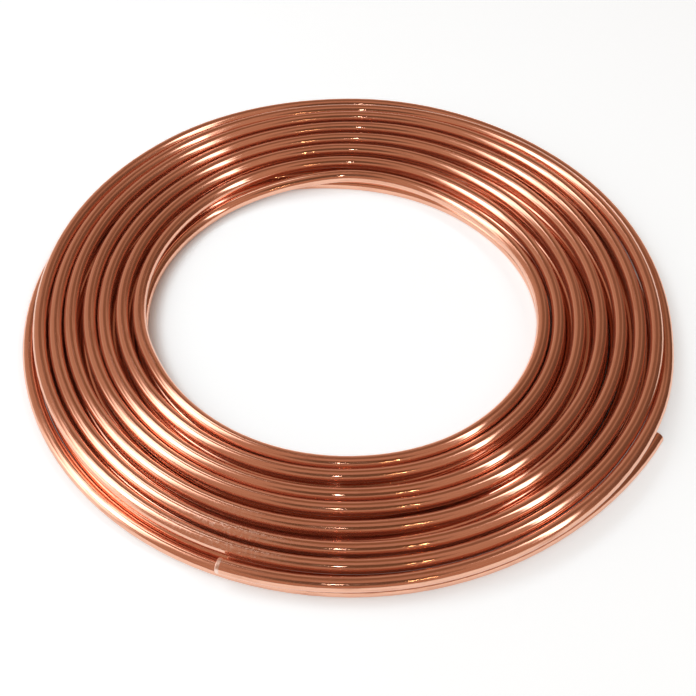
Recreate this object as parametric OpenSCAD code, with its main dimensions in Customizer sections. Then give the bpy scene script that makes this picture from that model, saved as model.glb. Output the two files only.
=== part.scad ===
// Soft copper tube wound as a flat two-layer coil, lying on the floor.
// Units are millimetres and +Z is up. The origin is the coil's centre on the floor.
// The tube starts on the outside of the top layer, winds inward counter-clockwise, drops into
// the lower layer at the coil's bore, winds outward again and ends in a straight tail.
// Each half of a layer is turned about its own centre. The two centres lie half a pitch apart,
// so the half turns meet end to end as one spiral.

/* [Tube] */

// Outside diameter of the tube, 3/8 in
tube_od = 9.525; // [6:0.025:12]
// Thickness of the tube's wall
tube_wall = 0.762; // [0.5:0.002:1.6]

/* [Coil] */

// Distance from the coil's centre to the middle of the innermost turn
inner_radius = 134; // [100:0.5:180]
// Whole turns in the top layer, which runs on for another half turn
top_turns = 7; // [4:1:9]
// Clear space between neighbouring turns of the top layer
top_gap = 2.85; // [0.5:0.05:5]
// Whole turns in the lower layer
lower_turns = 8; // [4:1:10]
// Clear space between neighbouring turns of the lower layer
lower_gap = 2.1; // [0.5:0.05:5]
// Clear height between the layers, which rest on each other
layer_gap = 0.1; // [0.05:0.01:0.5]

/* [Tube ends] */

// Direction from the coil's centre to where the tail leaves it, counter-clockwise from +X
tail_angle = 312; // [270:1:340]
// Straight length of the tail
tail_straight = 72; // [20:1:120]
// Angle by which the tube's start lies back from the tail's root
start_back = 63; // [20:1:150]

/* [Hidden] */

top_pitch = tube_od + top_gap;
lower_pitch = tube_od + lower_gap;
rise = tube_od + layer_gap;
lower_z = tube_od / 2;
top_z = lower_z + rise;
// The drop's ends lap into the turns that they join, inside those turns' wall
joint_lap = 0.3;
joint_inset = 0.05;
// The innermost turn of each layer, measured from that half's own centre
top_inner = inner_radius + top_pitch / 4;
lower_inner = inner_radius + lower_pitch / 4;
// The outermost bends, which the two ends of the tube run on from
start_radius = top_inner + (top_turns + 1 / 2) * top_pitch;
tail_radius = lower_inner + (lower_turns - 1 / 2) * lower_pitch;
drop_radius = sqrt(pow(inner_radius, 2) + pow(rise / 2, 2));
$fn = 96;

module tube_section(inset = 0) {
    difference() {
        circle(d = tube_od - 2 * inset, $fn = 32);
        circle(d = tube_od - 2 * tube_wall + 2 * inset, $fn = 32);
    }
}

// Bends of the tube, one to each radius, turned together from the +X side.
module bends(radii, sweep, inset = 0) {
    rotate_extrude(angle = sweep)
        for (radius = radii)
            translate([radius, 0])
                tube_section(inset);
}

// A length of tube along +Y.
module straight(length) {
    rotate([-90, 0, 0])
        linear_extrude(height = length)
            tube_section();
}

// The far half runs counter-clockwise from +X to -X, and the near half from -X back to +X.
module top_layer() {
    translate([top_pitch / 4, 0, top_z])
        bends([for (turn = [0 : top_turns]) top_inner + turn * top_pitch], 180);
    translate([-top_pitch / 4, 0, top_z]) {
        bends([for (turn = [0 : top_turns - 1]) top_inner + (turn + 1 / 2) * top_pitch], -180);
        bends([start_radius], -start_back);
    }
}

// The half turn at the bore leans, so it leaves the top layer and meets the lower one level.
module drop_to_lower_layer() {
    translate([0, 0, (top_z + lower_z) / 2])
        rotate([0, atan2(rise / 2, inner_radius), 0])
            rotate([0, 0, joint_lap])
                bends([drop_radius], -(180 + 2 * joint_lap), joint_inset);
}

module lower_layer() {
    translate([-lower_pitch / 4, 0, lower_z])
        bends([for (turn = [0 : lower_turns - 1]) lower_inner + turn * lower_pitch], 180);
    translate([lower_pitch / 4, 0, lower_z]) {
        bends([for (turn = [0 : lower_turns - 1]) lower_inner + (turn + 1 / 2) * lower_pitch], -180);
        translate([tail_radius, 0, 0])
            straight(tail_straight);
    }
}

module copper_tube() {
    color([0.72, 0.45, 0.32])
        rotate([0, 0, tail_angle]) {
            top_layer();
            drop_to_lower_layer();
            lower_layer();
        }
}

copper_tube();
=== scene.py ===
"""Copper tube coil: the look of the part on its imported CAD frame, laid out as an add-on."""

import math

import bpy
from mathutils import Matrix, Vector


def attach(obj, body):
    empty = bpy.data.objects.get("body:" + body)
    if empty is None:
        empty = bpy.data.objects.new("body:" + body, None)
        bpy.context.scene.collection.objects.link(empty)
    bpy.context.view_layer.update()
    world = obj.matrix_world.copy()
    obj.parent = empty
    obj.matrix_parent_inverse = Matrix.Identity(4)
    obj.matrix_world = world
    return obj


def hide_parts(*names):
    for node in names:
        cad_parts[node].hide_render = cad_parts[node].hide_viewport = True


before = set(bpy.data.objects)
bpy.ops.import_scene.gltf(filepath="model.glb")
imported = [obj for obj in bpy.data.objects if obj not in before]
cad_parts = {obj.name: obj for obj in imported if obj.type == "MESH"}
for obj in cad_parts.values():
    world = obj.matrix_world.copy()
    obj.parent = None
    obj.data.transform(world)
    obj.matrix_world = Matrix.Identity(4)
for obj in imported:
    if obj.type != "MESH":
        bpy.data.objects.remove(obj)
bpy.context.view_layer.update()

bl_info = {
    "name": "Copper tube coil",
    "version": (1, 0, 0),
    "blender": (4, 5, 0),
    "location": "View3D > Sidebar > Copper coil",
    "description": "Builds a coil of soft copper tube on its CAD frame, with its stage",
    "category": "Add Mesh",
}

NODE = "copper_tube"
MM = 0.001
FULL_TURN = 360.0
COORD = "tube_coord"
CUT = "cut_end"

# The rounded rim of a cut end: its half thickness as a share of the wall, and the sides of its section.
LIP_SHARE = 0.75
LIP_SIDES = 10

# The rubbed place on the front turns: its middle, how far it is turned, and its half sizes in metres.
RUBBED_PLACE = (-0.070, -0.196, 0.0195)
RUBBED_TURN = math.radians(-20.0)
RUBBED_SIZE = (0.046, 0.020, 0.0045)
# A paler band at the tube's start, a painted highlight for the bright crescent where the cut catches the
# light: metres along the tube between which it fades out.
PAINTED_GLINT_BAND = (0.0016, 0.0024)

# Scales of the copper's patterns. The drawn lines and dull patches have one scale around and one along.
LINE_SCALE = (9.0, 9.0, 0.5)
PATCH_SCALE = (1.2, 1.2, 28.0)
BLOTCH_SCALE = 480.0
SAW_MARK_SCALE = 2600.0

# Where the tube starts and ends: angle from +X in degrees and radius in mm.
START = (250.2, 228.2)
TAIL = ((188.0, 222.7), (270.0, 225.2), (306.0, 225.2), (318.0, 226.2), (330.0, 228.4))

# The top layer: radius in mm of each turn, from the outermost inward, at angles along a turn.
TOP_LAYER = (
    (270.0, (227.5, 215.6, 203.8, 189.3, 175.6, 165.5, 151.5, 141.6)),
    (302.0, (226.2, 215.8, 204.8, 191.0, 177.4, 166.8, 151.8, 141.2)),
    (355.5, (219.4, 211.8, 200.4, 187.4, 174.0, 158.8, 145.0, 134.4)),
    (405.0, (220.4, 211.3, 200.4, 186.8, 172.3, 156.4, 140.5, 125.4)),
    (450.0, (221.3, 210.9, 201.0, 187.6, 173.8, 160.3, 145.2, 129.4)),
    (507.0, (217.6, 207.9, 198.1, 185.1, 173.2, 160.6, 147.0)),
    (551.0, (214.2, 203.6, 193.0, 180.3, 170.2, 157.9, 146.2)),
)
LAST_TOP_TURN = 7
# One more station of the first turn, beside the tail, and two of the last full one, over the drop.
BESIDE_TAIL = (332.0, 223.0)
OVER_DROP = ((2692.0, 147.0), (2727.0, 144.2))

# How far the outer turns hang below the top layer, in mm, at angles along the tube.
SAG = ((324, 0.0), (352, 5.9), (400, 5.2), (450, 3.0), (490, 0.0), (765, 0.0), (805, 0.9), (835, 0.0))

# The drop into the lower layer, past the back of the last top turn: angles, and radii on the way.
DROP_FROM = 85.0
DROP_TO = 148.0
DROP_RADII = ((104.0, 130.4), (115.0, 133.0), (140.0, 140.2))

# The lower layer: radius of each turn, from its first outward, at angles along a turn.
LOWER_LAYER = (
    (191.0, (146.2, 155.8, 165.3, 174.9, 184.5, 194.0, 203.6, 213.1)),
    (270.0, (143.0, 153.3, 163.5, 173.7, 183.9, 194.1, 204.3, 214.5)),
    (355.5, (135.8, 146.9, 156.5, 166.1, 176.0, 186.0, 196.0, 206.0)),
    (405.0, (128.5, 139.0, 149.6, 160.2, 170.8, 181.6, 192.4, 203.2)),
    (450.0, (131.5, 142.2, 152.8, 163.4, 174.0, 184.6, 195.2, 205.6)),
    (495.0, (148.6, 158.3, 167.9, 177.5, 187.1, 196.7, 206.3, 215.9)),
)


class CoilSizes(bpy.types.PropertyGroup):
    """Sizes and colours of the tube."""

    tube_diameter: bpy.props.FloatProperty(
        name="Tube diameter",
        description="Outside diameter of the tube",
        default=0.009525,
        unit="LENGTH",
    )
    tube_wall: bpy.props.FloatProperty(
        name="Wall",
        description="Thickness of the tube's wall",
        default=0.000762,
        unit="LENGTH",
    )
    layer_gap: bpy.props.FloatProperty(
        name="Layer gap",
        description="Clear height between the layers",
        default=0.0001,
        unit="LENGTH",
    )
    bore_depth: bpy.props.FloatProperty(
        name="Bore depth",
        description="How far in the tube's bore is modelled at each end",
        default=0.06,
        unit="LENGTH",
    )
    steps_per_turn: bpy.props.IntProperty(
        name="Steps per turn",
        description="Points of the path in one turn of the coil",
        default=120,
        min=24,
    )
    sides: bpy.props.IntProperty(
        name="Sides",
        description="Sides of the tube's round section",
        default=40,
        min=8,
    )
    copper_colour: bpy.props.FloatVectorProperty(
        name="Copper",
        description="Colour of the clean copper",
        default=(0.93, 0.53, 0.38),
        subtype="COLOR",
        size=3,
    )
    dull_colour: bpy.props.FloatVectorProperty(
        name="Dulled copper",
        description="Colour of the copper where handling has dulled it",
        default=(0.72, 0.35, 0.23),
        subtype="COLOR",
        size=3,
    )
    # Colour of the rubbed blotches, and also of the pale band at the tube's start, which is a painted
    # highlight of the cut's crescent.
    rubbed_and_glint_colour: bpy.props.FloatVectorProperty(
        name="Rubbed copper",
        description="Colour of the pale blotches where the coil has been rubbed",
        default=(0.95, 0.72, 0.62),
        subtype="COLOR",
        size=3,
    )
    cut_colour: bpy.props.FloatVectorProperty(
        name="Cut copper",
        description="Colour of the bare copper on the cut ends",
        default=(0.95, 0.67, 0.56),
        subtype="COLOR",
        size=3,
    )


class StageSizes(bpy.types.PropertyGroup):
    """Camera and floor."""

    camera_height_angle: bpy.props.FloatProperty(
        name="Camera elevation",
        description="Angle at which the camera looks down",
        default=math.radians(49.01),
        subtype="ANGLE",
    )
    camera_distance: bpy.props.FloatProperty(
        name="Camera distance",
        description="Distance from the camera to the point it looks at",
        default=0.8443,
        unit="LENGTH",
    )
    camera_aim: bpy.props.FloatVectorProperty(
        name="Camera aim",
        description="Point on the floor that the camera looks at",
        default=(-0.0012, -0.0338, 0.0),
        subtype="TRANSLATION",
        size=3,
    )
    lens: bpy.props.FloatProperty(
        name="Lens",
        description="Focal length of the camera in millimetres",
        default=63.2,
    )
    floor_size: bpy.props.FloatProperty(
        name="Floor size",
        description="Side of the square floor",
        default=60.0,
        unit="LENGTH",
    )


def hermite(stations, angle):
    """A smooth value at an angle, through a list of (angle, value) pairs in order."""
    last = len(stations) - 1
    i = 0
    while i < last - 1 and angle > stations[i + 1][0]:
        i += 1

    def slope(k):
        a = stations[max(k - 1, 0)]
        b = stations[min(k + 1, last)]
        return (b[1] - a[1]) / (b[0] - a[0])

    (a0, v0), (a1, v1) = stations[i], stations[i + 1]
    span = a1 - a0
    t = (angle - a0) / span
    lift = t * t * (3 - 2 * t)
    return (
        v0 + (v1 - v0) * lift
        + span * slope(i) * t * (1 - t) ** 2
        - span * slope(i + 1) * t * t * (1 - t)
    )


def eased(stations, angle):
    """A value that eases from each (angle, value) pair to the next and stays level outside them."""
    if angle <= stations[0][0]:
        return stations[0][1]
    for (a0, v0), (a1, v1) in zip(stations, stations[1:]):
        if angle <= a1:
            t = (angle - a0) / (a1 - a0)
            return v0 + (v1 - v0) * t * t * (3 - 2 * t)
    return stations[-1][1]


def coil_stations():
    """The tube's radius in mm at angles along its whole length."""
    drop_turn = (LAST_TOP_TURN + 1) * FULL_TURN
    stations = [START, BESIDE_TAIL, *OVER_DROP]
    for angle, radii in TOP_LAYER:
        stations += [(angle + turn * FULL_TURN, radius) for turn, radius in enumerate(radii)]
    stations += [(drop_turn + angle, radius) for angle, radius in DROP_RADII]
    for angle, radii in LOWER_LAYER:
        stations += [(drop_turn + angle + turn * FULL_TURN, radius) for turn, radius in enumerate(radii)]
    last_turn = drop_turn + len(LOWER_LAYER[0][1]) * FULL_TURN
    stations += [(last_turn + angle, radius) for angle, radius in TAIL]
    return sorted(stations)


def coil_path(sizes):
    """Points along the middle of the tube, from its start to the end of its tail, in metres."""
    diameter = sizes.tube_diameter / MM
    stations = coil_stations()
    low = diameter / 2
    rise = diameter + sizes.layer_gap / MM
    drop_turn = (LAST_TOP_TURN + 1) * FULL_TURN
    drop = ((drop_turn + DROP_FROM, 0.0), (drop_turn + DROP_TO, 1.0))
    first = stations[0][0]
    end = stations[-1][0]
    count = round((end - first) / FULL_TURN * sizes.steps_per_turn)
    points = []
    for i in range(count + 1):
        angle = first + (end - first) * i / count
        radius = hermite(stations, angle)
        height = low + rise * (1 - eased(drop, angle)) - eased(SAG, angle)
        turned = math.radians(angle)
        points.append(Vector((radius * math.cos(turned), radius * math.sin(turned), height)) * MM)
    return points


def input_socket(tree, name, kind, default=None):
    """A named input of a node tree."""
    socket = tree.interface.new_socket(name=name, in_out="INPUT", socket_type=kind)
    if default is not None:
        socket.default_value = default
    return socket


class Tree:
    """Short calls for adding and joining nodes."""

    def __init__(self, tree):
        self.tree = tree

    def add(self, kind, **settings):
        node = self.tree.nodes.new(kind)
        for name, value in settings.items():
            setattr(node, name, value)
        return node

    def join(self, output, socket):
        self.tree.links.new(output, socket)


def tube_tree(drawn, cut):
    """Geometry Nodes that sweep the tube along a path, line its ends and round their rims."""
    tree = bpy.data.node_groups.new("Tube along path", "GeometryNodeTree")
    input_socket(tree, "Path", "NodeSocketGeometry")
    ids = {
        "radius": input_socket(tree, "Radius", "NodeSocketFloat", 0.005).identifier,
        "wall": input_socket(tree, "Wall", "NodeSocketFloat", 0.0008).identifier,
        "depth": input_socket(tree, "Bore depth", "NodeSocketFloat", 0.06).identifier,
        "sides": input_socket(tree, "Sides", "NodeSocketInt", 28).identifier,
    }
    tree.interface.new_socket(name="Tube", in_out="OUTPUT", socket_type="NodeSocketGeometry")
    t = Tree(tree)
    given = t.add("NodeGroupInput")
    result = t.add("NodeGroupOutput")

    along = t.add("GeometryNodeSplineParameter")
    path = t.add("GeometryNodeCaptureAttribute", domain="POINT")
    path.capture_items.new("FLOAT", "Along")
    t.join(given.outputs["Path"], path.inputs["Geometry"])
    t.join(along.outputs["Length"], path.inputs["Along"])

    inner = t.add("ShaderNodeMath", operation="SUBTRACT")
    t.join(given.outputs["Radius"], inner.inputs[0])
    t.join(given.outputs["Wall"], inner.inputs[1])

    position = t.add("GeometryNodeInputPosition")

    def round_section(radius):
        circle = t.add("GeometryNodeCurvePrimitiveCircle")
        t.join(given.outputs["Sides"], circle.inputs["Resolution"])
        t.join(radius, circle.inputs["Radius"])
        keep = t.add("GeometryNodeCaptureAttribute", domain="POINT")
        keep.capture_items.new("VECTOR", "Around")
        t.join(circle.outputs["Curve"], keep.inputs["Geometry"])
        t.join(position.outputs["Position"], keep.inputs["Around"])
        return keep

    def swept(curve, section):
        sweep = t.add("GeometryNodeCurveToMesh")
        t.join(curve, sweep.inputs["Curve"])
        t.join(section.outputs["Geometry"], sweep.inputs["Profile Curve"])
        unit = t.add("ShaderNodeVectorMath", operation="NORMALIZE")
        t.join(section.outputs["Around"], unit.inputs[0])
        split = t.add("ShaderNodeSeparateXYZ")
        t.join(unit.outputs["Vector"], split.inputs["Vector"])
        whole = t.add("ShaderNodeCombineXYZ")
        t.join(split.outputs["X"], whole.inputs["X"])
        t.join(split.outputs["Y"], whole.inputs["Y"])
        t.join(path.outputs["Along"], whole.inputs["Z"])
        store = t.add("GeometryNodeStoreNamedAttribute", data_type="FLOAT_VECTOR", domain="POINT")
        store.inputs["Name"].default_value = COORD
        t.join(sweep.outputs["Mesh"], store.inputs["Geometry"])
        t.join(whole.outputs["Vector"], store.inputs["Value"])
        return store.outputs["Geometry"]

    skin = swept(path.outputs["Geometry"], round_section(given.outputs["Radius"]))

    liner_section = round_section(inner.outputs["Value"])
    liners = []
    length = t.add("GeometryNodeCurveLength")
    t.join(path.outputs["Geometry"], length.inputs["Curve"])
    far = t.add("ShaderNodeMath", operation="SUBTRACT")
    t.join(length.outputs["Length"], far.inputs[0])
    t.join(given.outputs["Bore depth"], far.inputs[1])
    lined = (
        (None, given.outputs["Bore depth"]),
        (far.outputs["Value"], length.outputs["Length"]),
    )
    for begin, end in lined:
        trim = t.add("GeometryNodeTrimCurve", mode="LENGTH")
        lengths = [s for s in trim.inputs if s.type == "VALUE" and s.enabled]
        t.join(path.outputs["Geometry"], trim.inputs["Curve"])
        lengths[0].default_value = 0.0
        if begin:
            t.join(begin, lengths[0])
        t.join(end, lengths[1])
        flip = t.add("GeometryNodeFlipFaces")
        t.join(swept(trim.outputs["Curve"], liner_section), flip.inputs["Mesh"])
        liners.append(flip.outputs["Mesh"])

    lip_size = t.add("ShaderNodeMath", operation="MULTIPLY")
    lip_size.inputs[1].default_value = LIP_SHARE
    t.join(given.outputs["Wall"], lip_size.inputs[0])
    middle = t.add("ShaderNodeMath", operation="SUBTRACT")
    t.join(given.outputs["Radius"], middle.inputs[0])
    t.join(lip_size.outputs["Value"], middle.inputs[1])
    ring = t.add("GeometryNodeCurvePrimitiveCircle")
    t.join(given.outputs["Sides"], ring.inputs["Resolution"])
    t.join(middle.outputs["Value"], ring.inputs["Radius"])
    lip = t.add("GeometryNodeCurvePrimitiveCircle")
    lip.inputs["Resolution"].default_value = LIP_SIDES
    t.join(lip_size.outputs["Value"], lip.inputs["Radius"])
    rim = t.add("GeometryNodeCurveToMesh")
    t.join(ring.outputs["Curve"], rim.inputs["Curve"])
    t.join(lip.outputs["Curve"], rim.inputs["Profile Curve"])
    mark = t.add("GeometryNodeStoreNamedAttribute", data_type="BOOLEAN", domain="FACE")
    mark.inputs["Name"].default_value = CUT
    mark.inputs["Value"].default_value = True
    t.join(rim.outputs["Mesh"], mark.inputs["Geometry"])
    ends = t.add("GeometryNodeCurveEndpointSelection")
    tangent = t.add("GeometryNodeInputTangent")
    facing = t.add("FunctionNodeAlignRotationToVector", axis="Z")
    t.join(tangent.outputs["Tangent"], facing.inputs["Vector"])
    rims = t.add("GeometryNodeInstanceOnPoints")
    t.join(path.outputs["Geometry"], rims.inputs["Points"])
    t.join(ends.outputs["Selection"], rims.inputs["Selection"])
    t.join(mark.outputs["Geometry"], rims.inputs["Instance"])
    t.join(facing.outputs["Rotation"], rims.inputs["Rotation"])

    joined = t.add("GeometryNodeJoinGeometry")
    for part in (skin, *liners, rims.outputs["Instances"]):
        t.join(part, joined.inputs["Geometry"])
    smooth = t.add("GeometryNodeSetShadeSmooth")
    t.join(joined.outputs["Geometry"], smooth.inputs["Geometry"])
    real = t.add("GeometryNodeRealizeInstances")
    t.join(smooth.outputs["Geometry"], real.inputs["Geometry"])
    dress = t.add("GeometryNodeSetMaterial")
    dress.inputs["Material"].default_value = drawn
    t.join(real.outputs["Geometry"], dress.inputs["Geometry"])
    marked = t.add("GeometryNodeInputNamedAttribute", data_type="BOOLEAN")
    marked.inputs["Name"].default_value = CUT
    bare = t.add("GeometryNodeSetMaterial")
    bare.inputs["Material"].default_value = cut
    t.join(dress.outputs["Geometry"], bare.inputs["Geometry"])
    t.join(marked.outputs["Attribute"], bare.inputs["Selection"])
    t.join(bare.outputs["Geometry"], result.inputs["Tube"])
    return tree, ids


def copper_material(sizes):
    """Drawn copper: fine lines along the tube, dull patches, a rubbed place, and a paler, rougher start
    that is a painted highlight for the cut's crescent.
    """
    material = bpy.data.materials.new("Drawn copper")
    material.use_nodes = True
    t = Tree(material.node_tree)
    shader = material.node_tree.nodes["Principled BSDF"]
    shader.inputs["Metallic"].default_value = 0.92
    coord = t.add("ShaderNodeAttribute", attribute_name=COORD)

    def noise(scale, detail, distortion=0.0):
        move = t.add("ShaderNodeMapping")
        move.inputs["Scale"].default_value = scale
        t.join(coord.outputs["Vector"], move.inputs["Vector"])
        texture = t.add("ShaderNodeTexNoise")
        texture.inputs["Scale"].default_value = 1.0
        texture.inputs["Detail"].default_value = detail
        texture.inputs["Distortion"].default_value = distortion
        t.join(move.outputs["Vector"], texture.inputs["Vector"])
        return texture.outputs["Fac"]

    def ranged(value, low, high, to_low, to_high):
        fit = t.add("ShaderNodeMapRange")
        fit.inputs["From Min"].default_value = low
        fit.inputs["From Max"].default_value = high
        fit.inputs["To Min"].default_value = to_low
        fit.inputs["To Max"].default_value = to_high
        t.join(value, fit.inputs["Value"])
        return fit.outputs["Result"]

    lines = noise(LINE_SCALE, 3.0)
    patches = noise(PATCH_SCALE, 4.0, 0.6)

    streaks = ranged(lines, 0.42, 0.7, 0.0, 0.55)
    cloud = ranged(patches, 0.5, 0.75, 0.0, 1.0)
    either = t.add("ShaderNodeMath", operation="MAXIMUM")
    t.join(streaks, either.inputs[0])
    t.join(cloud, either.inputs[1])
    dull = either.outputs["Value"]
    mix = t.add("ShaderNodeMix", data_type="RGBA")
    mix.inputs["A"].default_value = (*sizes.copper_colour, 1.0)
    mix.inputs["B"].default_value = (*sizes.dull_colour, 1.0)
    t.join(dull, mix.inputs["Factor"])

    place = t.add("ShaderNodeTexCoord")
    around = t.add("ShaderNodeMapping", vector_type="TEXTURE")
    around.inputs["Location"].default_value = RUBBED_PLACE
    around.inputs["Rotation"].default_value = (0.0, 0.0, RUBBED_TURN)
    around.inputs["Scale"].default_value = RUBBED_SIZE
    t.join(place.outputs["Object"], around.inputs["Vector"])
    reach = t.add("ShaderNodeVectorMath", operation="LENGTH")
    t.join(around.outputs["Vector"], reach.inputs[0])
    blotches = t.add("ShaderNodeTexNoise")
    blotches.inputs["Scale"].default_value = BLOTCH_SCALE
    blotches.inputs["Detail"].default_value = 3.0
    t.join(place.outputs["Object"], blotches.inputs["Vector"])
    rubbed = t.add("ShaderNodeMath", operation="MULTIPLY")
    t.join(ranged(reach.outputs["Value"], 0.45, 1.15, 1.0, 0.0), rubbed.inputs[0])
    t.join(ranged(blotches.outputs["Fac"], 0.40, 0.62, 0.0, 0.55), rubbed.inputs[1])
    split = t.add("ShaderNodeSeparateXYZ")
    t.join(coord.outputs["Vector"], split.inputs["Vector"])
    # One mask for the rubbed blotches, which are wear, and for the pale band at the start, which is a
    # painted highlight of the cut's crescent.
    rubbed_and_painted_glint = t.add("ShaderNodeMath", operation="MAXIMUM")
    t.join(rubbed.outputs["Value"], rubbed_and_painted_glint.inputs[0])
    t.join(ranged(split.outputs["Z"], *PAINTED_GLINT_BAND, 1.0, 0.0), rubbed_and_painted_glint.inputs[1])
    pale = t.add("ShaderNodeMix", data_type="RGBA")
    pale.inputs["B"].default_value = (*sizes.rubbed_and_glint_colour, 1.0)
    t.join(mix.outputs["Result"], pale.inputs["A"])
    t.join(rubbed_and_painted_glint.outputs["Value"], pale.inputs["Factor"])
    t.join(pale.outputs["Result"], shader.inputs["Base Color"])

    worn = t.add("ShaderNodeMath", operation="ADD")
    t.join(ranged(patches, 0.48, 0.75, 0.055, 0.24), worn.inputs[0])
    t.join(ranged(lines, 0.35, 0.7, 0.0, 0.05), worn.inputs[1])
    rough = t.add("ShaderNodeMath", operation="MULTIPLY_ADD")
    rough.inputs[1].default_value = 0.22
    t.join(rubbed_and_painted_glint.outputs["Value"], rough.inputs[0])
    t.join(worn.outputs["Value"], rough.inputs[2])
    t.join(rough.outputs["Value"], shader.inputs["Roughness"])

    bump = t.add("ShaderNodeBump")
    bump.inputs["Strength"].default_value = 0.015
    bump.inputs["Distance"].default_value = 0.0002
    t.join(lines, bump.inputs["Height"])
    t.join(bump.outputs["Normal"], shader.inputs["Normal"])
    return material


def cut_material(sizes):
    """Bare copper on the sawn ends, with fine marks of the saw."""
    material = bpy.data.materials.new("Cut copper")
    material.use_nodes = True
    t = Tree(material.node_tree)
    shader = material.node_tree.nodes["Principled BSDF"]
    shader.inputs["Metallic"].default_value = 1.0
    shader.inputs["Base Color"].default_value = (*sizes.cut_colour, 1.0)
    place = t.add("ShaderNodeTexCoord")
    marks = t.add("ShaderNodeTexNoise")
    marks.inputs["Scale"].default_value = SAW_MARK_SCALE
    t.join(place.outputs["Object"], marks.inputs["Vector"])
    rough = t.add("ShaderNodeMapRange")
    rough.inputs["To Min"].default_value = 0.24
    rough.inputs["To Max"].default_value = 0.5
    t.join(marks.outputs["Fac"], rough.inputs["Value"])
    t.join(rough.outputs["Result"], shader.inputs["Roughness"])
    return material


def path_object(name, points):
    """A curve of one open poly spline through the points."""
    curve = bpy.data.curves.new(name, "CURVE")
    curve.dimensions = "3D"
    curve.twist_mode = "Z_UP"
    spline = curve.splines.new("POLY")
    spline.points.add(len(points) - 1)
    for target, point in zip(spline.points, points):
        target.co = (*point, 1.0)
    holder = bpy.data.objects.new(name, curve)
    bpy.context.scene.collection.objects.link(holder)
    return holder


class COIL_OT_tube(bpy.types.Operator):
    """Wind the copper tube along its path"""

    bl_idname = "copper_coil.tube"
    bl_label = "Wind the tube"

    def execute(self, context):
        sizes = context.scene.coil_sizes
        path = path_object("tube_path", coil_path(sizes))
        tree, ids = tube_tree(copper_material(sizes), cut_material(sizes))
        modifier = path.modifiers.new("Tube", "NODES")
        modifier.node_group = tree
        modifier[ids["radius"]] = sizes.tube_diameter / 2
        modifier[ids["wall"]] = sizes.tube_wall
        modifier[ids["depth"]] = sizes.bore_depth
        modifier[ids["sides"]] = sizes.sides
        graph = context.evaluated_depsgraph_get()
        mesh = bpy.data.meshes.new_from_object(path.evaluated_get(graph), depsgraph=graph)
        if not mesh.polygons:
            raise RuntimeError("the tube's node tree made no faces")
        tube = bpy.data.objects.new("wound_tube", mesh)
        context.scene.collection.objects.link(tube)
        bpy.data.objects.remove(path)
        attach(tube, "root")
        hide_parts(NODE)
        return {"FINISHED"}


# Each light: name, the side of the coil where it glints (degrees), the steepness of the tube's surface
# at both ends of the glint (degrees), width (metres), how fast it fades to its edges, brightness, colour.
LIGHTS = (
    ("softbox_low", 222.5, (22.0, 44.0), 1.4, 2.0, 1.85, (0.98, 1.0, 1.03)),
    ("softbox_middle", 226.8, (44.0, 69.0), 1.05, 2.0, 3.6, (0.98, 1.0, 1.03)),
    ("softbox_high", 219.5, (69.0, 84.0), 0.32, 2.0, 2.2, (0.98, 1.0, 1.03)),
    ("strip", 303.8, (42.0, 72.0), 0.30, 1.5, 3.9, (0.98, 1.0, 1.03)),
    ("white_lamp", 268.0, (48.4, 50.6), 0.026, 1.0, 44.0, (1.0, 0.98, 0.95)),
    ("warm_lamp", 282.3, (42.2, 43.8), 0.022, 1.0, 50.0, (1.0, 0.80, 0.45)),
    ("warm_side_lamp", 279.8, (42.2, 43.8), 0.020, 1.0, 30.0, (1.0, 0.80, 0.45)),
)
LIGHT_DISTANCE = 1.6
# The room that the copper mirrors: its walls, and its shades as direction, reach (cosines) and colour.
ROOM_COLOUR = (0.452, 0.266, 0.183)
ROOM_SHADES = (
    ((0.0, -0.545, 0.839), (0.90, 0.975), (0.115, 0.056, 0.03)),
    ((0.05, 0.62, 0.78), (0.90, 0.99), (0.215, 0.105, 0.06)),
    ((0.9, 0.3, 0.33), (0.72, 0.97), (0.14, 0.068, 0.04)),
)
# A paler wall stands to one side: its direction, its reach to the sides (cosines) and up, and its colour.
HORIZON_SIDE = (-0.5, 0.87, 0.0)
HORIZON_REACH = (0.1, 0.7)
HORIZON_HEIGHT = (0.12, 0.58)
HORIZON_COLOUR = (0.52, 0.36, 0.285)
# The floor, and the glow that makes it white. The glow fades out under the coil, between these radii.
FLOOR_COLOUR = (0.80, 0.89, 0.94)
GLOW_COLOUR = (0.83, 0.955, 1.0)
FLOOR_GLOW = 0.54
GLOW_INSIDE = (0.128, 0.142)
GLOW_OUTSIDE = (0.205, 0.238)


def glint_direction(view, side, steep):
    """Direction of the light that the tube mirrors to the viewer where it faces (side, steep) degrees."""
    turned = math.radians(side)
    tilt = math.radians(steep)
    level = math.cos(tilt)
    facing = Vector((level * math.cos(turned), level * math.sin(turned), math.sin(tilt)))
    return 2 * facing.dot(view) * facing - view


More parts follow.
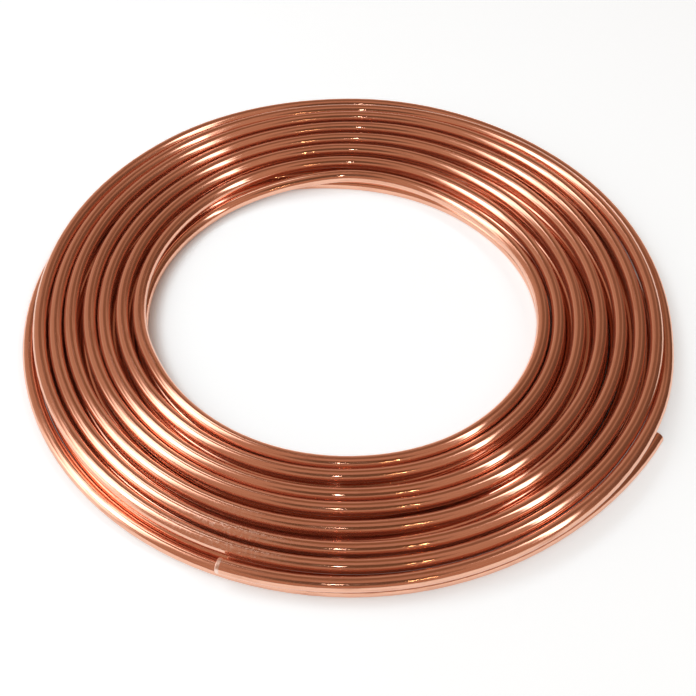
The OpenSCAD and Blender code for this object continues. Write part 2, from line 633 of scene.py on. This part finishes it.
class COIL_OT_stage(bpy.types.Operator):
    """Add the floor, the lights and the camera"""

    bl_idname = "copper_coil.stage"
    bl_label = "Set the stage"

    def execute(self, context):
        scene = context.scene
        stage = scene.coil_stage
        self.floor(scene, stage.floor_size)
        angle = stage.camera_height_angle
        view = Vector((0.0, -math.cos(angle), math.sin(angle)))
        for name, side, (low, high), width, fade, brightness, colour in LIGHTS:
            near = glint_direction(view, side, low) * LIGHT_DISTANCE
            far = glint_direction(view, side, high) * LIGHT_DISTANCE
            self.light(scene, name, near, far, width, fade, brightness, colour)
        self.world(scene)
        self.camera(scene, stage)
        scene.view_settings.view_transform = "Standard"
        return {"FINISHED"}

    def floor(self, scene, side):
        material = bpy.data.materials.new("White floor")
        material.use_nodes = True
        shader = material.node_tree.nodes["Principled BSDF"]
        shader.inputs["Base Color"].default_value = (*FLOOR_COLOUR, 1.0)
        shader.inputs["Roughness"].default_value = 0.9
        shader.inputs["Specular IOR Level"].default_value = 0.0
        shader.inputs["Emission Color"].default_value = (*GLOW_COLOUR, 1.0)
        t = Tree(material.node_tree)
        ray = t.add("ShaderNodeLightPath")
        seen = ray.outputs["Is Camera Ray"]
        for kind in ("Is Glossy Ray", "Is Transmission Ray"):
            either = t.add("ShaderNodeMath", operation="MAXIMUM")
            t.join(seen, either.inputs[0])
            t.join(ray.outputs[kind], either.inputs[1])
            seen = either.outputs["Value"]
        place = t.add("ShaderNodeTexCoord")
        reach = t.add("ShaderNodeVectorMath", operation="LENGTH")
        t.join(place.outputs["Object"], reach.inputs[0])
        clear = t.add("ShaderNodeMath", operation="ADD")
        for socket, (first, last), ends in zip(
            clear.inputs, (GLOW_INSIDE, GLOW_OUTSIDE), ((FLOOR_GLOW, 0.0), (0.0, FLOOR_GLOW))
        ):
            fade = t.add("ShaderNodeMapRange", interpolation_type="SMOOTHSTEP")
            fade.inputs["From Min"].default_value = first
            fade.inputs["From Max"].default_value = last
            fade.inputs["To Min"].default_value = ends[0]
            fade.inputs["To Max"].default_value = ends[1]
            t.join(reach.outputs["Value"], fade.inputs["Value"])
            t.join(fade.outputs["Result"], socket)
        glow = t.add("ShaderNodeMath", operation="MULTIPLY")
        t.join(seen, glow.inputs[0])
        t.join(clear.outputs["Value"], glow.inputs[1])
        t.join(glow.outputs["Value"], shader.inputs["Emission Strength"])
        half = side / 2
        corners = [(-half, -half, 0), (half, -half, 0), (half, half, 0), (-half, half, 0)]
        mesh = bpy.data.meshes.new("floor")
        mesh.from_pydata(corners, [], [(0, 1, 2, 3)])
        mesh.materials.append(material)
        floor = bpy.data.objects.new("floor", mesh)
        scene.collection.objects.link(floor)

    def light(self, scene, name, near, far, width, fade, brightness, colour):
        lamp = bpy.data.lights.new(name, "AREA")
        lamp.shape = "RECTANGLE"
        lamp.size = (far - near).length
        lamp.size_y = width
        lamp.energy = brightness * math.pi * lamp.size * width
        lamp.color = colour
        self.soften(lamp, fade)
        holder = bpy.data.objects.new(name, lamp)
        place = (near + far) / 2
        out = place.normalized()
        along = (far - near).normalized()
        across = out.cross(along).normalized()
        along = across.cross(out)
        turn = Matrix((along, across, out)).transposed()
        holder.location = out * LIGHT_DISTANCE
        holder.rotation_euler = turn.to_euler()
        scene.collection.objects.link(holder)

    def soften(self, lamp, fade):
        """Fade the light across its width, from its middle to both edges."""
        lamp.use_nodes = True
        t = Tree(lamp.node_tree)
        emission = next(node for node in lamp.node_tree.nodes if node.type == "EMISSION")
        place = t.add("ShaderNodeNewGeometry")
        split = t.add("ShaderNodeSeparateXYZ")
        t.join(place.outputs["Parametric"], split.inputs["Vector"])
        rest = t.add("ShaderNodeMath", operation="SUBTRACT")
        rest.inputs[0].default_value = 1.0
        t.join(split.outputs["Y"], rest.inputs[1])
        hill = t.add("ShaderNodeMath", operation="MULTIPLY")
        t.join(split.outputs["Y"], hill.inputs[0])
        t.join(rest.outputs["Value"], hill.inputs[1])
        whole = t.add("ShaderNodeMath", operation="MULTIPLY")
        whole.inputs[1].default_value = 4.0
        t.join(hill.outputs["Value"], whole.inputs[0])
        steep = t.add("ShaderNodeMath", operation="POWER")
        steep.inputs[1].default_value = fade
        t.join(whole.outputs["Value"], steep.inputs[0])
        t.join(steep.outputs["Value"], emission.inputs["Strength"])

    def world(self, scene):
        world = bpy.data.worlds.new("Studio")
        scene.world = world
        world.use_nodes = True
        t = Tree(world.node_tree)
        back = world.node_tree.nodes["Background"]
        place = t.add("ShaderNodeTexCoord")
        split = t.add("ShaderNodeSeparateXYZ")
        t.join(place.outputs["Generated"], split.inputs["Vector"])

        def toward(direction):
            dot = t.add("ShaderNodeVectorMath", operation="DOT_PRODUCT")
            dot.inputs[1].default_value = direction
            t.join(place.outputs["Generated"], dot.inputs[0])
            return dot.outputs["Value"]

        def faded(value, first, last):
            fade = t.add("ShaderNodeMapRange", interpolation_type="SMOOTHSTEP")
            fade.inputs["From Min"].default_value = first
            fade.inputs["From Max"].default_value = last
            t.join(value, fade.inputs["Value"])
            return fade.outputs["Result"]

        def mixed(factor, first, second):
            mix = t.add("ShaderNodeMix", data_type="RGBA")
            t.join(factor, mix.inputs["Factor"])
            for socket, colour in ((mix.inputs["A"], first), (mix.inputs["B"], second)):
                if isinstance(colour, tuple):
                    socket.default_value = (*colour, 1.0)
                else:
                    t.join(colour, socket)
            return mix.outputs["Result"]

        room = ROOM_COLOUR
        for direction, (first, last), shade in ROOM_SHADES:
            room = mixed(faded(toward(direction), first, last), room, shade)
        wall = t.add("ShaderNodeMath", operation="SUBTRACT")
        wall.use_clamp = True
        t.join(faded(toward(HORIZON_SIDE), *HORIZON_REACH), wall.inputs[0])
        t.join(faded(split.outputs["Z"], *HORIZON_HEIGHT), wall.inputs[1])
        t.join(mixed(wall.outputs["Value"], room, HORIZON_COLOUR), back.inputs["Color"])

    def camera(self, scene, stage):
        lens = bpy.data.cameras.new("camera")
        lens.lens = stage.lens
        lens.sensor_width = 36.0
        holder = bpy.data.objects.new("camera", lens)
        angle = stage.camera_height_angle
        back = Vector((0.0, -math.cos(angle), math.sin(angle)))
        holder.location = Vector(stage.camera_aim) + back * stage.camera_distance
        holder.rotation_euler = back.to_track_quat("Z", "Y").to_euler()
        scene.collection.objects.link(holder)
        scene.camera = holder


class COIL_PT_panel(bpy.types.Panel):
    """Lists the coil's operators and sizes"""

    bl_label = "Copper tube coil"
    bl_idname = "COIL_PT_panel"
    bl_space_type = "VIEW_3D"
    bl_region_type = "UI"
    bl_category = "Copper coil"

    def draw(self, context):
        for group in (context.scene.coil_sizes, context.scene.coil_stage):
            for name in group.__annotations__:
                self.layout.prop(group, name)
        for operator in (COIL_OT_tube, COIL_OT_stage):
            self.layout.operator(operator.bl_idname)


CLASSES = (CoilSizes, StageSizes, COIL_OT_tube, COIL_OT_stage, COIL_PT_panel)


def register():
    for entry in CLASSES:
        bpy.utils.register_class(entry)
    bpy.types.Scene.coil_sizes = bpy.props.PointerProperty(type=CoilSizes)
    bpy.types.Scene.coil_stage = bpy.props.PointerProperty(type=StageSizes)


def unregister():
    del bpy.types.Scene.coil_stage
    del bpy.types.Scene.coil_sizes
    for entry in reversed(CLASSES):
        bpy.utils.unregister_class(entry)


def main():
    register()
    bpy.ops.copper_coil.tube()
    bpy.ops.copper_coil.stage()


if __name__ == "__main__":
    main()
